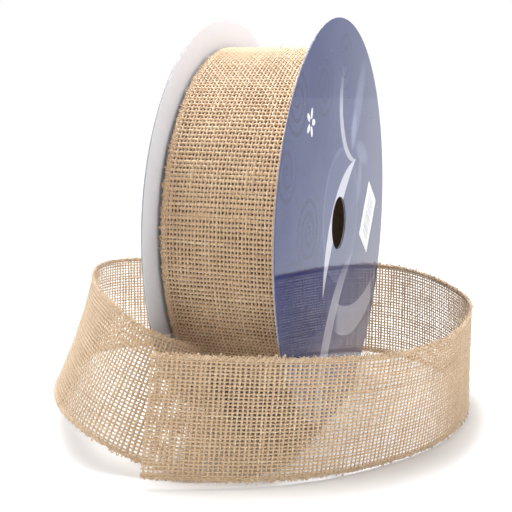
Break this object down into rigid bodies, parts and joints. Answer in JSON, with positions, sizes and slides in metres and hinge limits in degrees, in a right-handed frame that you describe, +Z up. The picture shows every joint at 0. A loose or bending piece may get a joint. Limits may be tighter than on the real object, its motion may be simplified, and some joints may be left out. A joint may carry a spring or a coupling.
{
  "type": "ribbon spool",
  "caption": "Wired burlap ribbon wound on a two-flange paperboard spool that turns about its hole, with a length of ribbon paid out in a loop round it.",
  "frame": {"origin": "centre of the spindle hole, midway between the two flanges", "axes": "+X along the spool's axis towards the printed flange, +Z up with the spool standing on its rims, -Y towards the side where the paid-out ribbon leaves the roll"},
  "size_m": [0.2624, 0.265, 0.2286],
  "materials": {
    "jute_cloth": "matt",
    "wound_jute": "matt",
    "florist_wire": "satin",
    "kraft_core": "matt",
    "chipboard": "matt",
    "white_liner": "matt",
    "blue_print": "gloss",
    "label_paper": "matt"
  },
  "bodies": {
    "paid_out_ribbon": {"ribbon_tail": "jute_cloth", "tail_wire_lower": "florist_wire", "tail_wire_upper": "florist_wire"},
    "spool": {"wound_ribbon": "wound_jute", "core_tube": "kraft_core", "printed_flange_board": "chipboard", "printed_flange_liner": "white_liner", "printed_flange_facing": "blue_print", "plain_flange_board": "chipboard", "plain_flange_liner": "white_liner", "plain_flange_facing": "white_liner", "price_label": "label_paper"}
  },
  "joints": [
    {"name": "spool_turn", "type": "hinge", "parent": "paid_out_ribbon", "child": "spool", "pos_m": [0, 0, 0], "axis": [1, 0, 0], "continuous": true}
  ]
}
